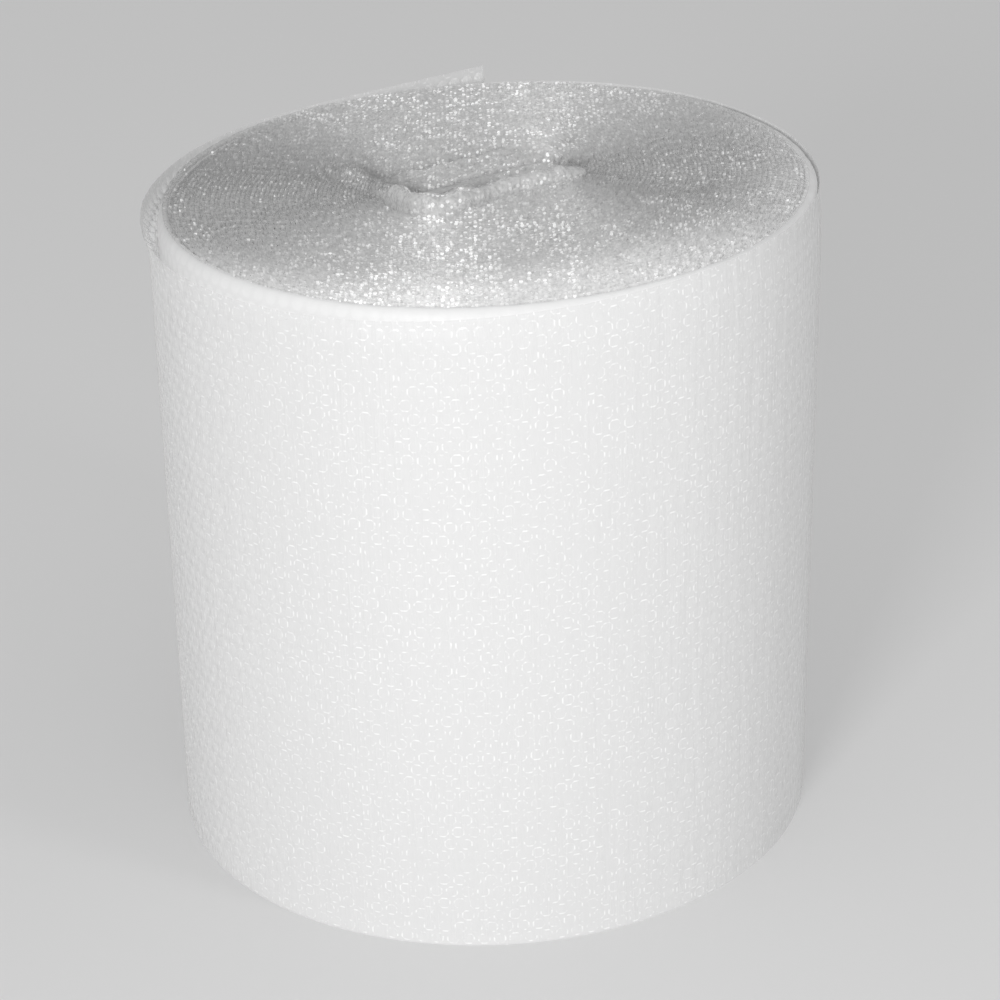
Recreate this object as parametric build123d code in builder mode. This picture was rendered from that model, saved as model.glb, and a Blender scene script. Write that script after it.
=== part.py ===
# Roll of air bubble film standing on its end.
# It is one sheet wound without a core, so its middle has fallen flat and its last stretch hangs loose.
import os

from build123d import *

# Driving sizes, in millimetres and degrees
film_width = 500.0  # the roll stands as high as the film is wide
roll_diameter = 488.0
film_thickness = 4.0  # one layer with its bubbles
turns = 17  # each turn drawn stands for three or four layers of film
winding_gap = 1.0  # air between one turn and the next
fold_length = 100.0  # straight run of the flattened middle
fold_angle = 28.0  # how the flattened middle lies, from X towards Y
outer_flat = 6.0  # straight run still left in the outside turn
lip_turn = 3  # this turn has crept up out of the end
lip_rise = 12.0
rim_step = 5.0  # each of the two outside turns has slipped this far below the one inside it
tail_length = 134.0  # loose end of the film

# Sizes that follow from them
half_turns = 2 * round(turns)
pitch = (roll_diameter + winding_gap) / (half_turns + 1)
first_radius = pitch - winding_gap / 2
slack = pitch - winding_gap - film_thickness
last_turn = half_turns - 2
lip = 2 * round(lip_turn) - 1


def half_run(k):
    """Half the straight run beside half turn k. It shortens outwards, so the outside of the roll is round."""
    inwards = 1 - max(k, 0) / half_turns
    return outer_flat / 2 + (fold_length - outer_flat) / 2 * inwards**2


def half_turn(k, run, radii):
    """Start, middle and end of half turn k, clockwise from above: even ones round the +X end, odd ones the -X end."""
    side = 1 if k % 2 == 0 else -1
    height = -pitch / 2 if k % 2 == 0 else 0
    start = (side * run, height + side * radii[0])
    middle = (side * (run + radii[1]), height)
    end = (side * run, height - side * radii[2])
    return start, middle, end


def outer_face(k):
    """Half turn k on the outer face of the sheet."""
    radius = first_radius + k * pitch / 2
    return half_turn(k, half_run(k), (radius, radius, radius))


def inner_face(k):
    """Half turn k on the inner face, a winding gap clear of the turn inside it. The last turn thins to one layer."""
    radius = first_radius + (k - 2) * pitch / 2 + winding_gap
    loose = [max(k - last_turn + share, 0) / 2 for share in (0, 0.5, 1)]
    return half_turn(k, half_run(k - 2), [radius + slack * amount**2 for amount in loose])


# Stretches of the sheet: first and last half turn, height of the lower edge, height of the upper edge
stretches = (
    (0, lip - 1, 0, film_width),
    (lip, lip + 1, lip_rise, film_width + lip_rise),
    (lip + 2, last_turn - 3, 0, film_width),
    (last_turn - 2, last_turn - 1, 0, film_width - rim_step),
    (last_turn, last_turn + 1, 0, film_width - 2 * rim_step),
)

with BuildPart() as roll:
    for first, last, lower, upper in stretches:
        with BuildSketch(Plane.XY.offset(lower).rotated((0, 0, fold_angle))):
            with BuildLine():
                tips = []
                for face in (outer_face, inner_face):
                    # The sheet's own first edge lies in the middle of the fold; later stretches go on from the one before.
                    at = face(first - 1)[2] if first else (-half_run(0), face(0)[0][1])
                    tips.append(at)
                    for k in range(first, last + 1):
                        start, middle, end = face(k)
                        Line(at, start)
                        ThreePointArc(start, middle, end)
                        at = end
                    if last == last_turn + 1:
                        tail_end = (at[0] + tail_length, at[1])
                        Line(at, tail_end)
                        at = tail_end
                    tips.append(at)
                Line(tips[0], tips[2])
                Line(tips[1], tips[3])
            make_face()
        extrude(amount=upper - lower)

roll.part.label = "air_bubble_film_roll"
os.makedirs("parts", exist_ok=True)
export_step(roll.part, "parts/air_bubble_film_roll.step")

box = roll.part.bounding_box().size
print(f"air_bubble_film_roll: {box.X:.1f} x {box.Y:.1f} x {box.Z:.1f} mm, pitch {pitch:.2f} mm")
print(f"{len(roll.part.solids())} solid, {roll.part.volume / 1e6:.2f} litres, valid: {roll.part.is_valid}")
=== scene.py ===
# %% [markdown]
# # A roll of clear air bubble film
#
# The real object is one long sheet of polyethylene film with a lattice of sealed air bubbles.
# It is wound up without a core, so its middle has fallen flat, and it stands on its end.
# Almost every piece here is made flat first, as the film was, and is then wound onto one path.
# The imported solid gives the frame: metres, Z up, the photographed side towards -Y.

# %% Load the frame
import math

import bmesh
import bpy
import numpy as np
from mathutils import Matrix, Vector, noise


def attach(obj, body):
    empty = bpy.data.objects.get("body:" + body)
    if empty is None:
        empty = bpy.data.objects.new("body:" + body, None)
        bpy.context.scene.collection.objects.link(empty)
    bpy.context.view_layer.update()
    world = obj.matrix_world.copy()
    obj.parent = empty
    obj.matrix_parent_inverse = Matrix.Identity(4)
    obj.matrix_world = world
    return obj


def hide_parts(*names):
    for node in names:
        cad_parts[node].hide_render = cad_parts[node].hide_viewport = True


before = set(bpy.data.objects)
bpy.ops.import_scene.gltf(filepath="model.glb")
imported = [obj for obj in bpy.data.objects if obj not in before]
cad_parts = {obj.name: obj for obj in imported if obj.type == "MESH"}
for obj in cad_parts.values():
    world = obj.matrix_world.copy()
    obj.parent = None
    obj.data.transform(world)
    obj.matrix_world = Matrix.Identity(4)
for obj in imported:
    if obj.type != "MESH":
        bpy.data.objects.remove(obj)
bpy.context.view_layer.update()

chance = np.random.default_rng(7)
MM = 0.001

# %% [markdown]
# ## The winding path
#
# A wound sheet could be drawn as a round spiral, but this roll has no core and its middle is a flat loop.
# So each half turn is a half circle, and a straight run joins it to the next one.
# The run is long in the middle and almost nothing at the outside, which is how the solid is drawn too.
# The last turn is slack: it lifts off the turn below it and leaves the roll as a straight loose tail.

# %% Winding path
layer_pitch = 4.0 * MM  # from one turn of film to the next
tight_halves = 116  # half turns that lie tight on each other
first_radius = 5.5 * MM
last_radius = first_radius + (tight_halves - 1) * layer_pitch / 2
off_centre = np.array([-3.0, -5.5]) * MM  # the outside turns have settled this far to the left and the front
fold_angle = math.radians(28)  # how the flat middle lies, from X towards Y
inner_run, outer_run = 50 * MM, 3 * MM  # half the straight run in the middle and at the outside
fold_start, fold_span = 13.47 * MM, 237.5 * MM  # the run shortens from this radius on, over this much
# halves of the slack last turn: radius, half its straight run, and how far its middle lies across the fold
slack_halves = (
    (236.98 * MM, 3.16 * MM, -6.98 * MM),
    (243.97 * MM, 3.04 * MM, 0.0),
)
tail_length = 134 * MM
path_step = 5 * MM  # from point to point along the path


def turned(angle):
    """The two directions of a frame that is turned by this angle in plan, as rows."""
    return np.array([[math.cos(angle), math.sin(angle)], [-math.sin(angle), math.cos(angle)]])


fold_frame = turned(fold_angle)


def fold_run(radius):
    """Half the straight run of a turn, from the flat middle out to the round outside."""
    outwards = np.clip((radius - fold_start) / fold_span, 0, 1)
    return outer_run + (inner_run - outer_run) * (1 - outwards) ** 2


def settled(radius):
    """How far a turn has settled from the middle of the roll."""
    return np.multiply.outer((radius / last_radius) ** 1.5, off_centre)


def half_turn(radius, run, side, centre):
    """Points of a half turn, clockwise from above: side 1 goes round the fold's right end, -1 its left."""
    steps = max(10, round(math.pi * radius / path_step))
    turn = np.linspace(math.pi / 2, -math.pi / 2, steps)
    return np.column_stack([side * (run + radius * np.cos(turn)), side * radius * np.sin(turn)]) + centre


def tight_half(k):
    """Half turn k of the tight winding, counted from the middle."""
    radius = first_radius + k * layer_pitch / 2
    centre = settled(radius) - (0, layer_pitch / 2 * (1 - k % 2))
    return half_turn(radius, fold_run(radius), 1 - 2 * (k % 2), centre)


def measured(stretches):
    """A path ready for winding: distance along it, place in plan, and direction out of the roll."""
    place = np.vstack(stretches) @ fold_frame
    along = np.concatenate([[0], np.cumsum(np.linalg.norm(np.diff(place, axis=0), axis=1))])
    ahead = np.gradient(place, along, axis=0)
    outward = np.column_stack([-ahead[:, 1], ahead[:, 0]])
    return along, place, outward / np.linalg.norm(outward, axis=1)[:, None]


slack_turn = [
    half_turn(radius, run, 1 - 2 * k, (0, centre)) for k, (radius, run, centre) in enumerate(slack_halves)]
tail_tip = slack_turn[-1][-1] + np.array([tail_length, 0])
tight_turns = [tight_half(k) for k in range(tight_halves)]
second_path = measured(tight_turns[-2:] + [slack_turn[0][:1]])
outer_path = measured(slack_turn + [tail_tip[None, :]])
outer_end = outer_path[0][-1]
print(f"film {measured(tight_turns)[0][-1] + outer_end:.1f} m long, tail {tail_length:.3f} m of it")

# %% [markdown]
# ## From flat to wound
#
# The film is bubbled while it is flat, and only then is it rolled up.
# A Curve modifier could bend a strip along the path, but a roll of fifty metres needs an exact fit.
# So one small function lays a flat mesh on the path: X runs along it, Y stands out from it, Z stays up.

# %% Winding a flat mesh


def points_of(mesh):
    """The mesh's points as an array of rows."""
    flat = np.empty(len(mesh.vertices) * 3)
    mesh.vertices.foreach_get("co", flat)
    return flat.reshape(-1, 3)


def set_points(mesh, points):
    """Put the rows back into the mesh."""
    mesh.vertices.foreach_set("co", points.ravel())
    mesh.update()


def on_path(path, along, out=0.0):
    """Place in plan, a distance along the path and a little out of it."""
    distance, place, outward = path
    return np.column_stack([
        np.interp(along, distance, place[:, i]) + out * np.interp(along, distance, outward[:, i])
        for i in (0, 1)])


def wind(mesh, path):
    """Lay a flat mesh on the winding path."""
    points = points_of(mesh)
    points[:, :2] = on_path(path, points[:, 0], points[:, 1])
    set_points(mesh, points)


def to_mesh(bm, name):
    """A new mesh from a bmesh that is then done with."""
    mesh = bpy.data.meshes.new(name)
    bm.to_mesh(mesh)
    bm.free()
    return mesh


def repeated(bm, *arrays):
    """One plain mesh of a small shape repeated by Array modifiers, each a count and an offset."""
    holder = bpy.data.objects.new("repeat", to_mesh(bm, "one"))
    bpy.context.scene.collection.objects.link(holder)
    for count, offset in arrays:
        array = holder.modifiers.new("repeat", "ARRAY")
        array.count = count
        array.use_relative_offset = False
        array.use_constant_offset = True
        array.constant_offset_displace = offset
    made = bpy.data.meshes.new_from_object(holder.evaluated_get(bpy.context.evaluated_depsgraph_get()))
    bpy.data.objects.remove(holder)
    return made


def smoothstep(low, high, value):
    """0 below low, 1 above high, and an easy slope between."""
    share = np.clip((value - low) / (high - low), 0, 1)
    return share * share * (3 - 2 * share)


def ripple(x, y, size, seed=0.0):
    """Smooth noise between about -1 and 1, with bumps of a given size."""
    return np.array([noise.noise(Vector((a / size, b / size, seed))) for a, b in zip(x, y)])


def bell(a, b=0.0):
    """1 in the middle, falling away smoothly over about one unit."""
    return np.exp(-(a ** 2) - b ** 2)


print("winding helpers ready, for paths of", len(second_path[0]), "and", len(outer_path[0]), "points")

# %% [markdown]
# ## The level of the upper end
#
# The end of a coreless roll isn't flat. A loop near the middle has crept up, the film inside it has sunk,
# a shallow valley lies behind it, a crease runs off to its left, and the last turns round off to the rim.
# Each of these could be sculpted by hand on a finished mesh, but several meshes meet at this end.
# So one function gives the level for any place, and the turns and the body under them agree.

# %% Sizes of the upper end
film_width = 500 * MM
lip_height, lip_far_height = 13 * MM, 4 * MM  # of the crept loop at its near side and at its far side
lip_left, lip_right = -41 * MM, 33 * MM  # ends of the loop's straight run
lip_inside, lip_top = 19 * MM, 28 * MM  # ring where its inside ends, and ring where its crest begins
lip_brow, lip_foot_ring = 32 * MM, 41 * MM  # rings where its outer slope begins and ends
sunk_place, sunk_size, sunk_depth = (-48 * MM, -16 * MM), (32 * MM, 14 * MM), 8 * MM
valley_place, valley_width, valley_depth = 58 * MM, 16 * MM, 5 * MM
pit_places = ((63 * MM, 78 * MM, 6 * MM), (13 * MM, 61 * MM, 5 * MM))  # gaps where a turn has buckled away
pit_depth = 7 * MM
crease_place = (-96 * MM, 24 * MM)  # middle of a crumpled crease at the left of the loop
crease_angle = math.radians(31.1)  # how the crease's narrow way lies, from X towards Y
crease_size, crease_height = (7 * MM, 32 * MM), 5 * MM
rim_drop, rim_from, rim_to = 3 * MM, 220 * MM, 238 * MM  # how far the last turns round off, and where
roll_radius = 244 * MM
end_slope = 5 * MM  # the end rises this far from the middle to the right
loop_length = lip_right - lip_left + 2 * lip_top
print(f"loop {loop_length / MM:.0f} mm long on an end {2 * roll_radius / MM:.0f} mm across")

# %% Level of the upper end


def rim_height(x, y):
    """Height of the outside turn's upper edge: higher at the right and the back, and waving at the front."""
    turn = np.arctan2(y, x)
    wave = 4 * MM * np.sin(2 * turn + math.pi) * smoothstep(20 * MM, -120 * MM, y)
    return 493.6 * MM + (5.4 * MM * x + 2.8 * MM * y) / roll_radius + wave


def fold_radius(x, y):
    """Which turn a place in plan belongs to, as that turn's radius, and the place turned onto the fold."""
    u, v = fold_frame @ np.vstack([x, y])
    radius = np.hypot(u, v)
    for _ in range(9):  # the run depends on the radius, so the radius is found by steps
        shift = settled(radius)
        beyond = np.maximum(np.abs(u - shift[:, 0]) - fold_run(radius), 0)
        radius = np.hypot(beyond, v - shift[:, 1])
    return radius, u, v


def lip_width(u, v):
    """How much wider the crept loop is than an even one: most at the near left."""
    return np.where(v < 0, 1 + 0.3 * smoothstep(0, -50 * MM, u), 1.2)


def lip_radius(u, v):
    """Which ring of the crept loop a place belongs to; its ends are blunter than the turns round it."""
    beyond = np.maximum(np.maximum(u - lip_right, lip_left - u), 0)
    return (beyond ** 4 + (v / lip_width(u, v)) ** 4) ** 0.25


def lip_level(x, y, u, v):
    """The crept loop, highest at the near left and low at its right end and far side."""
    ring = lip_radius(u, v)
    near_side = smoothstep(30 * MM, -12 * MM, v)
    near = lip_height * near_side * (1 - 0.4 * smoothstep(-60 * MM, -5 * MM, u))
    near = near * (1 - 0.7 * smoothstep(35 * MM, 68 * MM, u))
    crest = 0.35 + 0.65 * smoothstep(lip_inside, lip_top, ring)
    slope = smoothstep(lip_foot_ring, lip_brow, ring)
    return (near + lip_far_height * (1 - near_side)) * crest * slope * (1 + 0.3 * ripple(x, y, 13 * MM, 9.0))


def crease_level(x, y):
    """The crumpled crease at the left of the loop."""
    across, along = turned(crease_angle) @ np.vstack([x - crease_place[0], y - crease_place[1]])
    ridge = bell(across / crease_size[0], along / crease_size[1])
    return crease_height * ridge * (1 + 0.6 * ripple(x, y, 9 * MM, 9.0))


def end_level(x, y):
    """How far the upper end stands above or below the film's width."""
    radius, u, v = fold_radius(x, y)
    sunk = sunk_depth * bell((u - sunk_place[0]) / sunk_size[0], (v - sunk_place[1]) / sunk_size[1])
    valley = valley_depth * bell((v - valley_place) / valley_width)
    valley = valley * smoothstep(-75 * MM, -55 * MM, u) * smoothstep(40 * MM, 10 * MM, u)
    pits = sum(pit_depth * bell((x - a) / size, (y - b) / size) for a, b, size in pit_places)
    uneven = 1.6 * MM * ripple(x, y, 60 * MM) + 0.8 * MM * ripple(x, y, 16 * MM, 3.0)
    level = lip_level(x, y, u, v) + crease_level(x, y) - sunk - valley - pits + uneven
    level = level + end_slope * x / roll_radius
    round_off = smoothstep(rim_from, rim_to, radius)
    return level * (1 - round_off) - rim_drop * round_off


near_left = fold_frame.T @ np.array([[-60 * MM], [-38 * MM]])
print(f"near left of the loop {end_level(*near_left)[0] / MM:.1f} mm above the film's width")

# %% [markdown]
# ## Finishes
#
# Low-density polyethylene, or LDPE, is a clear film, slightly milky and glossy.
# It was blown and drawn, so it has fine streaks. One layer is seen through.
# Sixty layers scatter the light so often that the roll is white.
# Glass-like transmission through sixty layers would be slow and grainy,
# so the loose layers are part see-through, and the wound body is an opaque milky white.

# %% Node helpers
film_ior = 1.51  # of LDPE


def linear(code):
    """A linear colour from an sRGB hex code."""
    channels = [int(code[i:i + 2], 16) / 255 for i in (1, 3, 5)]
    return [c / 12.92 if c <= 0.04045 else ((c + 0.055) / 1.055) ** 2.4 for c in channels] + [1.0]


def add_node(tree, kind, inputs=None, **settings):
    """A node with its settings; an input is a value, or a socket to link from."""
    node = tree.nodes.new(kind)
    for name, value in settings.items():
        setattr(node, name, value)
    for name, value in (inputs or {}).items():
        socket = node.inputs[name]
        if isinstance(value, bpy.types.NodeSocket):
            tree.links.new(value, socket)
        else:
            socket.default_value = value
    return node


def new_material(name):
    """A material with an empty tree and its output."""
    material = bpy.data.materials.new(name)
    material.use_nodes = True
    material.node_tree.nodes.clear()
    return material, material.node_tree, material.node_tree.nodes.new("ShaderNodeOutputMaterial")


def drawn_streaks(tree, place):
    """Streaks up the roll from drawing the film, about 3 mm wide and 60 mm long."""
    drawn = add_node(tree, "ShaderNodeMapping", {"Vector": place.outputs["Object"], "Scale": (330, 330, 16)})
    streaks = add_node(tree, "ShaderNodeTexNoise", {
        "Vector": drawn.outputs["Vector"], "Scale": 1.0, "Detail": 3.0})
    return streaks.outputs["Fac"]


print("film refracts at", film_ior)

# %% [markdown]
# ## The lattice in a finish
#
# The bubbles stand in rows, and every second row is shifted by half a bubble.
# A texture could repeat an image of one bubble, but here the film's own map is enough:
# one unit along for a bubble, one unit up for a row. The fraction of that is the place within one bubble.

# %% Bubble lattice in a finish
bubble_pitch = 11.36 * MM  # from bubble to bubble along the film
row_pitch = 10.3 * MM  # from row to row


def bubble_middle(tree):
    """Millimetres across and up from the middle of the nearest bubble."""
    flat = add_node(tree, "ShaderNodeUVMap", uv_map="film")
    part = add_node(tree, "ShaderNodeSeparateXYZ", {"Vector": flat.outputs["UV"]})
    row = add_node(tree, "ShaderNodeMath", {0: part.outputs["Y"]}, operation="FLOOR")
    odd = add_node(tree, "ShaderNodeMath", {0: row.outputs[0], 1: 2.0}, operation="MODULO")
    shifted = add_node(tree, "ShaderNodeMath", {
        0: odd.outputs[0], 1: 0.5, 2: part.outputs["X"]}, operation="MULTIPLY_ADD")
    joined = add_node(tree, "ShaderNodeCombineXYZ", {"X": shifted.outputs[0], "Y": part.outputs["Y"]})
    cell = add_node(tree, "ShaderNodeVectorMath", {0: joined.outputs[0]}, operation="FRACTION")
    middle = add_node(tree, "ShaderNodeVectorMath", {
        0: cell.outputs[0], 1: (0.5, 0.5, 0)}, operation="SUBTRACT")
    sized = add_node(tree, "ShaderNodeVectorMath", {
        0: middle.outputs[0], 1: (bubble_pitch / MM, row_pitch / MM, 0)}, operation="MULTIPLY")
    return sized.outputs["Vector"]


print(f"bubbles {bubble_pitch / MM:.2f} mm apart in rows {row_pitch / MM:.1f} mm apart")

# %% [markdown]
# ## Clear film
#
# The outside turn and the tail are one layer of clear LDPE, welded to the layer with the bubbles.
# Light glints at the edge of each bubble's cup, most at its four sides, so a bubble shows as a few short
# dashes.
# These glints are painted highlights. They could be modelled, but they are too thin for a mesh,
# so they are painted as white dashes on the lattice, and a haze picks which of them are white.

# %% Clear film
loosens_from = outer_end - 640 * MM  # the outside turn begins to lift off here
loose_from = outer_end - 330 * MM  # and hangs clear from here on
dash_ring = 4.0  # millimetres from the bubble's middle to a dash


def painted_glint_dashes(tree, middle, haze):
    """Painted highlights: four straight white glint dashes round each bubble, broken up by the haze."""
    power = middle
    for _ in range(2):
        squared = add_node(tree, "ShaderNodeVectorMath", {0: power, 1: power}, operation="MULTIPLY")
        power = squared.outputs["Vector"]
    power = add_node(tree, "ShaderNodeVectorMath", {0: power, 1: (1, 1, 0)}, operation="DOT_PRODUCT")
    away = add_node(tree, "ShaderNodeMath", {0: power.outputs["Value"], 1: 0.25}, operation="POWER")
    off_ring = add_node(tree, "ShaderNodeMath", {0: away.outputs[0], 1: dash_ring}, operation="SUBTRACT")
    off_ring = add_node(tree, "ShaderNodeMath", {0: off_ring.outputs[0]}, operation="ABSOLUTE")
    ring = add_node(tree, "ShaderNodeMapRange", {
        "Value": off_ring.outputs[0], "From Min": 0.8, "From Max": 0.2})
    # near one of the bubble's two axes, across times up is small
    part = add_node(tree, "ShaderNodeSeparateXYZ", {"Vector": middle})
    both = add_node(tree, "ShaderNodeMath", {
        0: part.outputs["X"], 1: part.outputs["Y"]}, operation="MULTIPLY")
    both = add_node(tree, "ShaderNodeMath", {0: both.outputs[0]}, operation="ABSOLUTE")
    side = add_node(tree, "ShaderNodeMapRange", {
        "Value": both.outputs[0], "From Min": 11.0, "From Max": 7.0})
    some = add_node(tree, "ShaderNodeMapRange", {"Value": haze, "From Min": 0.46, "From Max": 0.62})
    white = ring.outputs["Result"]
    for share in (side, some):
        white = add_node(tree, "ShaderNodeMath", {
            0: white, 1: share.outputs["Result"]}, operation="MULTIPLY").outputs[0]
    return white


def clear_film(name, wound_alpha, loose_alpha, welded=False):
    """One layer of clear film: see-through where it hangs loose, milky where it lies on the wound turns."""
    material, tree, output = new_material(name)
    place = add_node(tree, "ShaderNodeTexCoord")
    streaks = drawn_streaks(tree, place)
    # haze in patches about 4 mm across, so that no two bubbles whiten alike
    haze = add_node(tree, "ShaderNodeTexNoise", {
        "Vector": place.outputs["Object"], "Scale": 240.0, "Detail": 2.0})
    rough = add_node(tree, "ShaderNodeMapRange", {"Value": streaks, "To Min": 0.15, "To Max": 0.35})
    bump = add_node(tree, "ShaderNodeBump", {"Height": streaks, "Strength": 0.3, "Distance": 1 * MM})
    gloss = bump
    white = haze.outputs["Fac"]
    if welded:
        middle = bubble_middle(tree)
        away = add_node(tree, "ShaderNodeVectorMath", {0: middle}, operation="LENGTH")
        weld = add_node(tree, "ShaderNodeMapRange", {
            "Value": away.outputs["Value"], "From Min": 3.3, "From Max": 4.6},
            interpolation_type="SMOOTHSTEP")
        gloss = add_node(tree, "ShaderNodeBump", {
            "Height": weld.outputs["Result"], "Strength": 0.25, "Distance": 1 * MM,
            "Normal": bump.outputs["Normal"]})
        # painted highlights: the glint dashes, drawn white on the lattice
        white = painted_glint_dashes(tree, middle, haze.outputs["Fac"])
    tone = add_node(tree, "ShaderNodeMix", {
        "Factor": white, "A": linear("#E4E4E4"), "B": linear("#FFFFFF")}, data_type="RGBA")
    flat = add_node(tree, "ShaderNodeUVMap", uv_map="film")
    along = add_node(tree, "ShaderNodeSeparateXYZ", {"Vector": flat.outputs["UV"]})
    alpha = add_node(tree, "ShaderNodeMapRange", {
        "Value": along.outputs["X"],
        "From Min": loosens_from / bubble_pitch, "From Max": loose_from / bubble_pitch,
        "To Min": wound_alpha, "To Max": loose_alpha}, interpolation_type="SMOOTHSTEP")
    film = add_node(tree, "ShaderNodeBsdfPrincipled", {
        "Base Color": tone.outputs["Result"], "Roughness": rough.outputs["Result"],
        "Normal": bump.outputs["Normal"], "IOR": film_ior, "Coat Weight": 0.7, "Coat Roughness": 0.22,
        "Coat Normal": gloss.outputs["Normal"], "Alpha": alpha.outputs["Result"]})
    tree.links.new(film.outputs["BSDF"], output.inputs["Surface"])
    return material


# the welded film carries the painted glint dashes
film_finish = clear_film("clear_ldpe_film", 0.86, 0.55, welded=True)
bubble_finish = clear_film("clear_ldpe_bubbles", 0.45, 0.4)
print("finishes:", film_finish.name, bubble_finish.name)

# %% [markdown]
# ## Film edges
#
# At the ends the eye meets sixty layers of LDPE on edge. They are painted grey as shade, for the light that
# sinks in between them, and painted whiter at the front and the right, as light that comes through the
# outside turns.
# The crinkles of the cut catch the light as fine glints. Modelled crinkles would need millions of faces,
# so the glints are painted as small white points in the finish, most of them on edges that face the front or
# the back.

# %% Film edges


def painted_rim_light(tree, place):
    """Painted light through the rim: a share that is 1 at the front and right of the rim and falls towards
    the back left.
    """
    plan = add_node(tree, "ShaderNodeMapping", {
        "Vector": place.outputs["Object"], "Location": (20 * MM, -40 * MM, 0), "Scale": (1, 1, 0)})
    out = add_node(tree, "ShaderNodeVectorMath", {0: plan.outputs["Vector"]}, operation="LENGTH")
    rim = add_node(tree, "ShaderNodeMapRange", {
        "Value": out.outputs["Value"], "From Min": 200 * MM, "From Max": 270 * MM},
        interpolation_type="SMOOTHSTEP")
    return rim.outputs["Result"]


def glint_places(tree, place):
    """Where the painted glints gather, as if the film's edges lay open to the light: at the front, back and
    right, and along the crease.
    """
    surface = add_node(tree, "ShaderNodeNewGeometry")
    part = add_node(tree, "ShaderNodeSeparateXYZ", {"Vector": surface.outputs["Normal"]})
    facing = add_node(tree, "ShaderNodeMath", {0: part.outputs["Y"]}, operation="ABSOLUTE")
    facing = add_node(tree, "ShaderNodeMapRange", {
        "Value": facing.outputs[0], "From Min": 0.55, "From Max": 0.9, "To Min": 0.12, "To Max": 1.0})
    right = add_node(tree, "ShaderNodeVectorMath", {
        0: place.outputs["Object"], 1: (0.8, -0.6, 0)}, operation="DOT_PRODUCT")
    right = add_node(tree, "ShaderNodeMapRange", {
        "Value": right.outputs["Value"], "From Min": 50 * MM, "From Max": 150 * MM, "To Max": 0.75})
    crease = add_node(tree, "ShaderNodeMapping", {
        "Vector": place.outputs["Object"], "Location": (*crease_place, 0),
        "Rotation": (0, 0, crease_angle), "Scale": (*crease_size, 10)}, vector_type="TEXTURE")
    crease = add_node(tree, "ShaderNodeVectorMath", {0: crease.outputs["Vector"]}, operation="LENGTH")
    crease = add_node(tree, "ShaderNodeMapRange", {
        "Value": crease.outputs["Value"], "From Min": 1.5, "From Max": 0.6})
    most = facing.outputs["Result"]
    for other in (right, crease):
        most = add_node(tree, "ShaderNodeMath", {
            0: most, 1: other.outputs["Result"]}, operation="MAXIMUM").outputs[0]
    return most


def glints(tree, place, cloud):
    """Painted glints: white points about 2.5 mm across and 3 mm apart, coarse enough to show, some brighter
    than others.
    """
    speck = add_node(tree, "ShaderNodeTexVoronoi", {"Vector": place.outputs["Object"], "Scale": 310.0})
    near = add_node(tree, "ShaderNodeMapRange", {
        "Value": speck.outputs["Distance"], "From Min": 0.46, "From Max": 0.39})
    own = add_node(tree, "ShaderNodeSeparateXYZ", {"Vector": speck.outputs["Color"]})
    lit = add_node(tree, "ShaderNodeMapRange", {
        "Value": own.outputs["X"], "From Min": 0.4, "From Max": 0.65})
    patch = add_node(tree, "ShaderNodeMapRange", {
        "Value": cloud, "From Min": 0.35, "From Max": 0.6, "To Min": 0.25, "To Max": 1.0})
    white = near.outputs["Result"]
    for share in (lit.outputs["Result"], glint_places(tree, place), patch.outputs["Result"]):
        white = add_node(tree, "ShaderNodeMath", {0: white, 1: share}, operation="MULTIPLY").outputs[0]
    return white


def cut_film(name, alpha, painted_shade_tone="#C7C7C7", coat=1.0, specular=0.6):
    """Film seen on its cut edge: painted shade where the light sinks in, painted light near the rim, and
    painted glints.
    """
    material, tree, output = new_material(name)
    place = add_node(tree, "ShaderNodeTexCoord")
    # crinkles about 2.3 mm across, and patches of 30 mm where the painted glints gather
    crinkle = add_node(tree, "ShaderNodeTexNoise", {
        "Vector": place.outputs["Object"], "Scale": 430.0, "Detail": 3.0}).outputs["Fac"]
    cloud = add_node(tree, "ShaderNodeTexNoise", {
        "Vector": place.outputs["Object"], "Scale": 35.0, "Detail": 2.0}).outputs["Fac"]
    # painted shade in grey, and painted light near the front and right of the rim
    tone = add_node(tree, "ShaderNodeMix", {
        "Factor": painted_rim_light(tree, place), "A": linear(painted_shade_tone), "B": linear("#DDDDDD")}, data_type="RGBA")
    # painted shade: the folds of the crinkles are darkened
    fold = add_node(tree, "ShaderNodeMapRange", {
        "Value": crinkle, "From Min": 0.52, "From Max": 0.34, "To Max": 0.4})
    tone = add_node(tree, "ShaderNodeMix", {
        "Factor": fold.outputs["Result"], "A": tone.outputs["Result"], "B": linear("#8C8C8C")},
        data_type="RGBA")
    # painted highlights: the glints
    white = glints(tree, place, cloud)
    tone = add_node(tree, "ShaderNodeMix", {
        "Factor": white, "A": tone.outputs["Result"], "B": linear("#FFFFFF")}, data_type="RGBA")
    dense = add_node(tree, "ShaderNodeMapRange", {"Value": white, "To Min": alpha, "To Max": 1.0})
    rough = add_node(tree, "ShaderNodeMapRange", {"Value": crinkle, "To Min": 0.05, "To Max": 0.2})
    bump = add_node(tree, "ShaderNodeBump", {"Height": crinkle, "Strength": 0.5, "Distance": 1.5 * MM})
    gloss = add_node(tree, "ShaderNodeBump", {"Height": crinkle, "Strength": 1.0, "Distance": 1.8 * MM})
    film = add_node(tree, "ShaderNodeBsdfPrincipled", {
        "Base Color": tone.outputs["Result"], "Roughness": rough.outputs["Result"],
        "Normal": bump.outputs["Normal"], "IOR": film_ior, "Specular IOR Level": specular,
        "Coat Weight": coat, "Coat Roughness": 0.25, "Coat Normal": gloss.outputs["Normal"],
        "Alpha": dense.outputs["Result"]})
    tree.links.new(film.outputs["BSDF"], output.inputs["Surface"])
    return material


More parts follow.
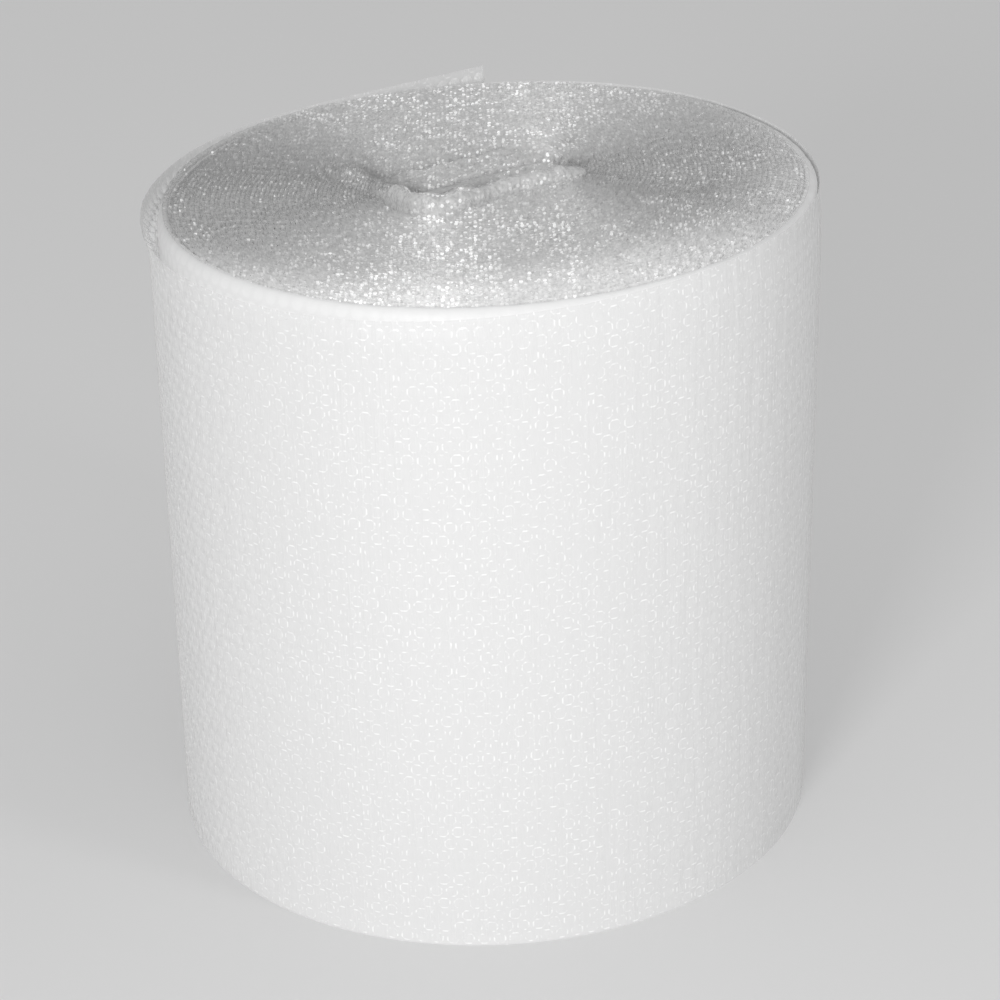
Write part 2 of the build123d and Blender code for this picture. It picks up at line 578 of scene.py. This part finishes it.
# each of these carries the painted shade, the painted rim light and the painted glints
edge_finish = cut_film("cut_ldpe_film", 0.55, painted_shade_tone="#C0C0C0", coat=0.2, specular=0.35)
body_finish = cut_film("layered_ldpe_film", 1.0, coat=0.0, specular=0.2)
lip_finish = cut_film("crinkled_ldpe_film", 0.75, painted_shade_tone="#D0D0D0")
print("finishes:", edge_finish.name, body_finish.name, lip_finish.name)

# %% [markdown]
# ## Film on film
#
# The turn under the outside one is LDPE film lying on film, which is milky and hardly glossy.
# It shows only through the turn outside it, so its bubbles needn't be modelled:
# each is a pale disc on a slightly darker web.
# Its rolled upper edge is painted as grey as the end that it rolls into: painted shade, with painted light at
# the front and the right.

# %% Film on film


def latticed_film(name):
    """Milky film with the bubble lattice, with painted shade towards its upper edge and painted rim light
    there.
    """
    material, tree, output = new_material(name)
    away = add_node(tree, "ShaderNodeVectorMath", {0: bubble_middle(tree)}, operation="LENGTH")
    disc = add_node(tree, "ShaderNodeMapRange", {
        "Value": away.outputs["Value"], "From Min": 5.2, "From Max": 3.2}, interpolation_type="SMOOTHSTEP")
    side_tone = add_node(tree, "ShaderNodeMix", {
        "Factor": disc.outputs["Result"], "A": linear("#E4E4E4"), "B": linear("#EAEAEA")}, data_type="RGBA")
    place = add_node(tree, "ShaderNodeTexCoord")
    # painted shade at the upper edge, and painted light at the front and the right of it
    end_light_and_shade = add_node(tree, "ShaderNodeMix", {
        "Factor": painted_rim_light(tree, place), "A": linear("#C4C4C4"), "B": linear("#E7E7E7")}, data_type="RGBA")
    part = add_node(tree, "ShaderNodeSeparateXYZ", {"Vector": place.outputs["Object"]})
    # the painted shade takes over towards the upper edge
    high = add_node(tree, "ShaderNodeMapRange", {
        "Value": part.outputs["Z"], "From Min": 484 * MM, "From Max": 495 * MM})
    tone = add_node(tree, "ShaderNodeMix", {
        "Factor": high.outputs["Result"], "A": side_tone.outputs["Result"], "B": end_light_and_shade.outputs["Result"]},
        data_type="RGBA")
    streaks = drawn_streaks(tree, place)
    rough = add_node(tree, "ShaderNodeMapRange", {"Value": streaks, "To Min": 0.35, "To Max": 0.6})
    bump = add_node(tree, "ShaderNodeBump", {"Height": streaks, "Strength": 0.2, "Distance": 1 * MM})
    film = add_node(tree, "ShaderNodeBsdfPrincipled", {
        "Base Color": tone.outputs["Result"], "Roughness": rough.outputs["Result"],
        "Normal": bump.outputs["Normal"], "IOR": film_ior, "Specular IOR Level": 0.3})
    tree.links.new(film.outputs["BSDF"], output.inputs["Surface"])
    return material


wound_finish = latticed_film("wound_ldpe_film")
print("finish:", wound_finish.name)

# %% [markdown]
# ## Putting a piece in the frame
#
# The whole roll is one solid in the frame, and the pieces here together stand for it.
# The roll has settled since it was stood up, so its upper end is a little to the right of its foot.
# A turned object would lose its patterns in the export, so the lean goes into each mesh.

# %% Putting a finished piece in the frame
lean = 10 * MM


def place_piece(name, mesh, material):
    """A finished mesh as a piece that rides on the roll and stands for part of its solid."""
    points = points_of(mesh)
    points[:, 0] += lean * (points[:, 2] / film_width - 0.5)
    set_points(mesh, points)
    piece = bpy.data.objects.new(name, mesh)
    bpy.context.scene.collection.objects.link(piece)
    mesh.materials.clear()
    mesh.materials.append(material)
    mesh.polygons.foreach_set("use_smooth", [True] * len(mesh.polygons))
    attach(piece, "root")
    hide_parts("air_bubble_film_roll")
    piece.visible_shadow = material in (body_finish, wound_finish)  # clear film lets the lamps through
    mesh.calc_loop_triangles()
    print(f"{name}: {len(mesh.loop_triangles)} triangles")


print(f"the roll leans by {math.degrees(math.atan(lean / film_width)):.1f} degrees")

# %% [markdown]
# ## The wound body
#
# Behind the loose outside layers are the wound turns, which read as one white body.
# A profile spun once round gives a closed round body, and its points are then drawn out along the fold.
# Its upper end follows the level of the turns, a little below their edges.

# %% Wound body
body_radius = 229 * MM
under_edge = 3 * MM
fine_radius = 60 * MM  # rings are closer together within this, round the loop


def drawn_to_fold(points):
    """Draw round points out along the fold, so that they lie in the shape of the winding."""
    radius = np.hypot(points[:, 0], points[:, 1])
    turn = np.arctan2(points[:, 1], points[:, 0])
    run = fold_run(radius) * np.clip(3 * np.cos(turn), -1, 1) * np.clip(radius / (4 * MM), 0, 1)
    plan = np.column_stack([radius * np.cos(turn) + run, radius * np.sin(turn)]) + settled(radius)
    return np.column_stack([plan @ fold_frame, points[:, 2]])


bm = bmesh.new()
rings = np.concatenate([np.linspace(0, fine_radius, 16), np.linspace(66 * MM, body_radius, 18)])
profile = [(r, under_edge) for r in rings[::6]] + [(body_radius, under_edge)]
profile += [(body_radius, film_width - under_edge)] + [(r, film_width - under_edge) for r in rings[-2::-1]]
corners = [bm.verts.new((r, 0, z)) for r, z in profile]
edges = [bm.edges.new(pair) for pair in zip(corners, corners[1:])]
bmesh.ops.spin(
    bm, geom=corners + edges, cent=(0, 0, 0), axis=(0, 0, 1), angle=2 * math.pi, steps=180, use_merge=True)
bmesh.ops.remove_doubles(bm, verts=bm.verts, dist=0.01 * MM)
bmesh.ops.recalc_face_normals(bm, faces=bm.faces)
body_mesh = to_mesh(bm, "wound_body")
points = drawn_to_fold(points_of(body_mesh))
top = points[:, 2] > film_width / 2
points[top, 2] += end_level(points[top, 0], points[top, 1])
set_points(body_mesh, points)
place_piece("wound_body", body_mesh, body_finish)

# %% [markdown]
# ## One bubble
#
# A bubble is drawn into the film over a small round cup, so it has steep sides and a nearly flat top.
# A uv sphere would spend most of its faces at the pole. A cone with its tip cut off, open towards the film,
# has the right form in a dozen faces, and smooth shading rounds its edge.

# %% One bubble
bubble_radius = 4.8 * MM
bubble_top = 0.72 * bubble_radius
bubble_depth = 3.2 * MM
bubble_gap = 0.5 * MM  # between the film and the open side, so that the two don't flicker
film_rows = 48
first_row = 6 * MM  # height of the lowest row's middle


def bubble(bm, x, z, segments=10):
    """A bubble on the inner face of the film, open towards the film."""
    middle = Matrix.Translation((x, -bubble_depth / 2 - bubble_gap, z))
    made = bmesh.ops.create_cone(
        bm, cap_ends=True, segments=segments, radius1=bubble_radius, radius2=bubble_top, depth=bubble_depth,
        matrix=middle @ Matrix.Rotation(math.radians(90), 4, "X"))
    faces = {face for vert in made["verts"] for face in vert.link_faces}
    open_side = [face for face in faces if face.calc_center_median().y > -1.2 * bubble_gap]
    bmesh.ops.delete(bm, geom=open_side, context="FACES_ONLY")


bm = bmesh.new()
bubble(bm, 0, 0)
print("one bubble:", len(bm.faces), "faces,", len(bm.verts), "points")
bm.free()

# %% [markdown]
# ## The bubbles of the outside turn
#
# On the outside the film shows as it is: a smooth face, with rows of bubbles behind it.
# Geometry nodes could scatter the bubbles over the film, but they stand in an exact lattice.
# So two bubbles of two rows are repeated by Array modifiers, made a little fuller or flatter by chance,
# and wound. At the upper edge the turn leans out at the left, where it is loose, and lies in at the front.

# %% Upper edge of the outside turn


def flare(x, y, z):
    """How far the loose edge at the left leans out of the roll."""
    turn = np.degrees(np.arctan2(y, -x))
    return 5 * MM * smoothstep(465 * MM, 492 * MM, z) * smoothstep(60, 25, turn) * smoothstep(-45, -15, turn)


def at_right(x, y):
    """A share that is 1 at the right of the roll and 0 at its front, left and back."""
    return smoothstep(120, 150, np.abs(np.degrees(np.arctan2(y, -x))))


def hug(x, y, z):
    """How far the edge at the front and the right lies in towards the turn under it."""
    turn = np.degrees(np.arctan2(y, -x))
    round_front = smoothstep(-40, -65, turn) + smoothstep(120, 150, turn)
    snug = 2 * MM * smoothstep(470 * MM, 494 * MM, z) * round_front
    return snug + 0.7 * MM * smoothstep(430 * MM, 494 * MM, z) * at_right(x, y)


def map_film(mesh, points):
    """Write the flat film's own map: one unit to a bubble along and to a row up."""
    flat = np.column_stack([points[:, 0] / bubble_pitch, (points[:, 2] - first_row) / row_pitch + 0.5])
    corner = np.empty(len(mesh.loops), dtype=int)
    mesh.loops.foreach_get("vertex_index", corner)
    mesh.uv_layers.new(name="film").data.foreach_set("uv", flat[corner].ravel())


def wind_outside(mesh, points):
    """Map flat points of the outside turn, fit them to the rim and wind them."""
    map_film(mesh, points)
    x, y = on_path(outer_path, points[:, 0]).T
    points[:, 2] *= rim_height(x, y) / film_width
    points[:, 1] += flare(x, y, points[:, 2]) - hug(x, y, points[:, 2])
    set_points(mesh, points)
    wind(mesh, outer_path)


left_rim, right_rim = [rim_height(x, 0) for x in (-roll_radius, roll_radius)]
print(f"rim from {left_rim / MM:.0f} mm at the left to {right_rim / MM:.0f} mm at the right")

# %% Bubbles of the outside turn
tail_start = round((outer_end - tail_length) / bubble_pitch) * bubble_pitch
tail_margin = 4 * MM  # bare film at the tail's end
slack_from, slack_to = 0.8, 1.1  # metres along the turn, where it begins to be slack and where it is


def bubble_lattice(start, stop):
    """Rows of bubbles wound onto a stretch of the outside turn."""
    columns = round((stop - start) / bubble_pitch)
    bm = bmesh.new()
    bubble(bm, 0, 0)
    bubble(bm, bubble_pitch / 2, row_pitch)
    per_bubble = len(bm.verts) // 2
    mesh = repeated(bm, (film_rows // 2, (0, 0, 2 * row_pitch)), (columns, (bubble_pitch, 0, 0)))
    points = points_of(mesh)
    which = np.arange(len(points)) // per_bubble
    points[:, 1] *= chance.uniform(0.7, 1.05, which[-1] + 1)[which]
    points += (start + bubble_pitch / 2, 0, first_row)
    points[:, 1] *= 1 + 0.4 * smoothstep(slack_from, slack_to, points[:, 0])  # fuller where the turn is slack
    from_edge = np.minimum(points[:, 2], film_width - points[:, 2])
    points[:, 1] *= 1 - 0.75 * smoothstep(14 * MM, 8 * MM, from_edge)  # the cut rows have lost their air
    wind_outside(mesh, points)
    return mesh


place_piece("outer_turn_bubbles", bubble_lattice(0, tail_start), bubble_finish)
place_piece("tail_bubbles", bubble_lattice(tail_start, outer_end - tail_margin), bubble_finish)

# %% [markdown]
# ## The turn under the outside one
#
# The second turn shows through the first, and its upper edge has rolled over into the end as a soft shoulder.
# A bevel would need a wall with a thickness, but the film is a single sheet.
# So its upper rows are bent over in an arc while the sheet is flat, and dip a little past the crest.

# %% Flat sheet


def flat_sheet(name, start, length, height, columns, rows):
    """A flat upright grid from start along X and from zero up."""
    bm = bmesh.new()
    bmesh.ops.create_grid(bm, x_segments=columns, y_segments=rows, size=0.5)
    bmesh.ops.rotate(bm, verts=bm.verts, matrix=Matrix.Rotation(math.radians(90), 3, "X"))
    corner = Matrix.Translation((0.5, 0, 0.5))
    sized = Matrix.Diagonal((length, 1, height, 1))
    bmesh.ops.transform(bm, verts=bm.verts, matrix=Matrix.Translation((start, 0, 0)) @ sized @ corner)
    return to_mesh(bm, name)


print("flat sheets ready")

# %% Turn under the outside one
shoulder_in, shoulder_down = 6 * MM, 12 * MM  # its upper edge rolls over into the end this far
shoulder_turn = math.radians(118)
shoulder_below = 2 * MM  # its crest lies this far below the level of the end
upright_rows, rolled_rows = 18, 12
round_columns = 720
taper_from, taper_to = 80 * MM, 10 * MM  # before its end the roll-over fades into the outside turn
lean_out = 1.5 * MM  # of its edge at the right


def second_turn():
    """The turn under the outside one, rolled over at its upper edge."""
    rows = upright_rows + rolled_rows
    length = second_path[0][-1]
    mesh = flat_sheet("second_turn_film", 0, length, rows, round_columns, rows)
    points = points_of(mesh)
    row = points[:, 2].copy()
    rolled = np.clip((row - upright_rows) / rolled_rows, 0, 1) * shoulder_turn
    x, y = on_path(second_path, points[:, 0]).T
    ends = smoothstep(taper_from, taper_to, length - points[:, 0])
    end_crest = film_width - shoulder_below + end_level(*on_path(second_path, points[:, 0], -shoulder_in).T)
    crest = (1 - ends) * end_crest + ends * rim_height(x, y)
    down = shoulder_down * (1 - 0.65 * at_right(x, y))  # at the right it rolls over in a flatter curve
    crumple = 0.6 * MM * np.sin(rolled) * ripple(points[:, 0], row * MM, 10 * MM, 8.0)
    points[:, 1] = crumple - shoulder_in * (1 - ends) * (1 - np.cos(rolled))
    points[:, 2] = np.clip(row / upright_rows, 0, 1) * (crest - down) + down * np.sin(rolled)
    points[:, 1] += lean_out * at_right(x, y) * smoothstep(400 * MM, 490 * MM, points[:, 2])
    map_film(mesh, points)
    set_points(mesh, points)
    wind(mesh, second_path)
    return mesh


place_piece("second_turn_film", second_turn(), wound_finish)

# %% [markdown]
# ## The film of the outside turn
#
# The film itself is smooth, but it swells a little over each bubble, wrinkles up and down the roll,
# and crumples at its cut edge. A bump in the finish would be lost at the outline,
# so these are in the mesh, with four points to each bubble.

# %% Film of the outside turn
points_per_row, points_per_bubble = 2, 4


def film_sheet(name, start, stop):
    """A stretch of the outside turn, swelling a little over each bubble, with fine upright wrinkles."""
    columns = round((stop - start) / bubble_pitch * points_per_bubble)
    rows = round(film_width / row_pitch * points_per_row)
    mesh = flat_sheet(name, start, stop - start, film_width, columns, rows)
    points = points_of(mesh)
    along, up = points[:, 0], points[:, 2]
    row = (up - first_row) / row_pitch
    column = along / bubble_pitch - 0.5 - 0.5 * (np.round(row) % 2)
    fullness = np.cos(math.pi * (row - np.round(row))) * (0.5 + 0.5 * np.cos(2 * math.pi * column))
    wrinkles = ripple(along, up / 12, 6 * MM, 5.0)
    crumple = smoothstep(470 * MM, 500 * MM, up) * ripple(along, up, 8 * MM, 8.0)
    points[:, 1] += 0.15 * MM * fullness + 0.3 * MM * wrinkles + 0.7 * MM * crumple
    wind_outside(mesh, points)
    return mesh


for name, start, stop in (("outer_turn_film", 0, tail_start), ("tail_film", tail_start, outer_end)):
    place_piece(name, film_sheet(name, start, stop), film_finish)

# %% [markdown]
# ## The turns at the ends
#
# At each end the eye looks onto the cut edge of the film, nearly sixty turns of it,
# with a row of cut bubbles on each. Drawing whole turns would take millions of faces,
# and only the last few millimetres show. So the film's edge is one long narrow strip,
# wound onto the whole path, and one cut bubble is repeated four thousand times behind it.

# %% Strip for the ends
edge_depth = 10 * MM
brushed = 2.5 * MM  # the free edge leans this far towards the back of the roll
points_per_pitch = 4  # along the strip, for each bubble
cut_above = 1.8 * MM  # the film was cut this far above the middle of a row
foot_clear = 1 * MM  # the lower edge curls this far up off the floor
end_path = measured(tight_turns[:-2])  # the last turn is the one with the rolled edge
edge_bubbles = int(end_path[0][-1] / bubble_pitch)


def set_at_end(mesh, upper):
    """Wind a flat strip whose cut edge is at zero, and take it to the upper end or down to the foot."""
    wind(mesh, end_path)
    points = points_of(mesh)
    points[:, 1] += brushed * np.clip(1 + points[:, 2] / edge_depth, 0, 1) ** 2
    if upper:
        points[:, 2] += film_width + end_level(points[:, 0], points[:, 1])
    else:
        points[:, 2] = np.maximum(foot_clear - points[:, 2], 0)
    set_points(mesh, points)


print(f"{end_path[0][-1]:.1f} m of film edge at each end, with {edge_bubbles} cut bubbles")

# %% Film edges and cut bubbles at the ends


def edge_strip(upper):
    """The film's cut edge, buckled a little between its bubbles and curled where it is free."""
    mesh = flat_sheet("edge_strip", 0, edge_bubbles * bubble_pitch, 1, edge_bubbles * points_per_pitch, 2)
    points = points_of(mesh)
    free = points[:, 2] ** 2
    points[:, 2] = (points[:, 2] - 1) * edge_depth
    points[:, 2] += free * 0.6 * MM * ripple(points[:, 0], 0 * free, 9 * MM, 2.0)
    points[:, 1] += free * 0.9 * MM * ripple(points[:, 0], points[:, 2], 7 * MM, 1.0)
    set_points(mesh, points)
    set_at_end(mesh, upper)
    return mesh


def edge_cups(upper):
    """The row of cut bubbles behind the film's edge, each a little fuller, flatter, higher or lower."""
    bm = bmesh.new()
    bubble(bm, bubble_pitch / 2, -cut_above, segments=8)
    everything = bm.verts[:] + bm.edges[:] + bm.faces[:]
    bmesh.ops.bisect_plane(bm, geom=everything, plane_co=(0, 0, 0), plane_no=(0, 0, 1), clear_outer=True)
    per_cup = len(bm.verts)
    mesh = repeated(bm, (edge_bubbles, (bubble_pitch, 0, 0)))
    points = points_of(mesh)
    which = np.arange(len(points)) // per_cup
    points[:, 1] *= chance.uniform(0.45, 1.0, edge_bubbles)[which]
    points[:, 2] += chance.normal(-1.5 * MM, 0.6 * MM, edge_bubbles)[which]
    points[:, 0] += chance.normal(0, 0.8 * MM, edge_bubbles)[which]
    set_points(mesh, points)
    set_at_end(mesh, upper)
    return mesh


for end, upper in (("upper", True), ("lower", False)):
    place_piece(f"{end}_film_edge", edge_strip(upper), edge_finish)
    place_piece(f"{end}_cut_bubbles", edge_cups(upper), edge_finish)

# %% [markdown]
# ## The lip round the middle
#
# A few turns near the middle have crept up out of the end,
# and stand as a crumpled lip along the near side of the flat loop.
# The narrow strip can't crumple that finely, so the lip's wall is a sheet of its own on a ring of the loop,
# rounded over from its foot to its crest, with creases a few millimetres apart.

# %% Path of the lip
lip_size = 37.5 * MM  # ring of the loop that the wall follows
right_turn, left_turn = [np.radians(np.linspace(*span)) for span in ((-12, -90, 40), (-90, -190, 44))]
straight = np.linspace(lip_right, lip_left, 30)[1:-1]
lip_u = np.concatenate([
    lip_right + lip_size * np.cos(right_turn) ** 0.5,
    straight,
    lip_left - lip_size * np.abs(np.cos(left_turn)) ** 0.5,
])
lip_v = np.concatenate([np.sin(right_turn), -np.ones(len(straight)), np.sin(left_turn)])
lip_v = lip_size * np.sign(lip_v) * np.abs(lip_v) ** 0.5
lip_path = measured([np.column_stack([lip_u, lip_v * lip_width(lip_u, lip_v)])])
lip_length = lip_path[0][-1]
print(f"lip {lip_length / MM:.0f} mm long")

# %% Lip
lip_foot, lip_crest = 2 * MM, -5 * MM  # outward from the path
foot_below, crest_above = 3 * MM, 1 * MM  # from the level of the end there
lip_taper = 20 * MM  # it fades out over this length at each end
lip_rows = 16
crease_rise = 9 * MM  # wall height that the creases are scaled to

lip_mesh = flat_sheet("lip", 0, lip_length, 1, round(lip_length / MM), lip_rows)
points = points_of(lip_mesh)
along, rise = points[:, 0].copy(), points[:, 2].copy()
foot_level, crest_level = [end_level(*on_path(lip_path, along, out).T) for out in (lip_foot, lip_crest)]
foot_level = foot_level - foot_below
crest_level = crest_level + crest_above + 1 * MM * ripple(along, 0 * rise, 6 * MM, 4.0)
height = (crest_level - foot_level) * smoothstep(0, lip_taper, np.minimum(along, lip_length - along))
creases = 1.2 * MM * ripple(along, crease_rise * rise, 8 * MM, 6.0)
creases = creases + 0.8 * MM * ripple(along, crease_rise * rise, 3.5 * MM, 7.0)
points[:, 1] = lip_foot + (lip_crest - lip_foot) * rise ** 2 + creases * np.sin(math.pi * rise)
points[:, 2] = film_width + foot_level + height * np.sin(math.pi / 2 * rise)
set_points(lip_mesh, points)
wind(lip_mesh, lip_path)
place_piece("crept_lip", lip_mesh, lip_finish)

# %% [markdown]
# ## Floor, light and camera
#
# The photograph was lit from near the camera and a little from the left,
# so the side is bright and the upper end, which the light only grazes, is grey.
# A soft lamp well behind the camera does that, and a pale room fills the rest.
# The floor is wide, so that in low views its edge lies far back. Its own glow shows only to the camera
# and in reflections, so it looks pale without lighting the roll from below.

# %% Floor
floor_half = 15.0
floor_tone = linear("#C8C8C8")
bm = bmesh.new()
bmesh.ops.create_grid(bm, x_segments=1, y_segments=1, size=floor_half)
floor_mesh = to_mesh(bm, "floor")
floor = bpy.data.objects.new("floor", floor_mesh)
bpy.context.scene.collection.objects.link(floor)
material, tree, output = new_material("pale_floor")
place = add_node(tree, "ShaderNodeTexCoord")
# painted board with grit about 2.5 mm across
grit = add_node(tree, "ShaderNodeTexNoise", {
    "Vector": place.outputs["Object"], "Scale": 400.0, "Detail": 2.0})
rough = add_node(tree, "ShaderNodeMapRange", {"Value": grit.outputs["Fac"], "To Min": 0.7, "To Max": 0.9})
paint = add_node(tree, "ShaderNodeBsdfPrincipled", {
    "Base Color": floor_tone, "Roughness": rough.outputs["Result"]})
ray = add_node(tree, "ShaderNodeLightPath")
seen = ray.outputs["Is Camera Ray"]
for kind in ("Is Glossy Ray", "Is Transmission Ray"):
    seen = add_node(tree, "ShaderNodeMath", {0: seen, 1: ray.outputs[kind]}, operation="MAXIMUM").outputs[0]
pale = add_node(tree, "ShaderNodeEmission", {"Color": floor_tone, "Strength": 0.28})
nothing = add_node(tree, "ShaderNodeEmission", {"Strength": 0.0})
shown = add_node(tree, "ShaderNodeMixShader", {0: seen, 1: nothing.outputs[0], 2: pale.outputs[0]})
both = add_node(tree, "ShaderNodeAddShader", {0: paint.outputs["BSDF"], 1: shown.outputs[0]})
tree.links.new(both.outputs[0], output.inputs["Surface"])
floor_mesh.materials.append(material)
print("floor", 2 * floor_half, "m across")

# %% World and lamps
world = bpy.data.worlds.new("studio")
bpy.context.scene.world = world
world.use_nodes = True
world.node_tree.nodes["Background"].inputs["Color"].default_value = linear("#E8E8E8")
world.node_tree.nodes["Background"].inputs["Strength"].default_value = 0.68


def lamp(name, place, target, size, power):
    """A soft square lamp that points at a place."""
    light = bpy.data.lights.new(name, "AREA")
    light.size = size
    light.energy = power
    holder = bpy.data.objects.new(name, light)
    aim = (Vector(place) - Vector(target)).to_track_quat("Z", "Y").to_matrix().to_4x4()
    holder.matrix_world = Matrix.Translation(place) @ aim
    bpy.context.scene.collection.objects.link(holder)
    print(name, power, "W")


lamp("key", (-1.55, -3.95, 1.48), (0, 0, 0.28), 1.0, 92)
lamp("fill", (1.7, -1.3, 1.0), (0, 0, 0.3), 0.4, 8)

# %% Camera
elevation = math.radians(25.96)
roll = math.radians(-2.27)
target = Vector((5.82, 0, 239.3)) * MM
distance = 2.26
back = Vector((0, -math.cos(elevation), math.sin(elevation)))
right = Vector((1, 0, 0))
up = right.cross(-back)
right, up = right * math.cos(roll) + up * math.sin(roll), up * math.cos(roll) - right * math.sin(roll)
camera = bpy.data.cameras.new("camera")
camera.sensor_width = 36
camera.lens = 106.38
holder = bpy.data.objects.new("camera", camera)
looking = Matrix((right, up, back)).transposed().to_4x4()
holder.matrix_world = Matrix.Translation(target + back * distance) @ looking
bpy.context.scene.collection.objects.link(holder)
bpy.context.scene.camera = holder
bpy.context.scene.view_settings.view_transform = "Standard"
print("camera", round(camera.lens, 1), "mm lens")
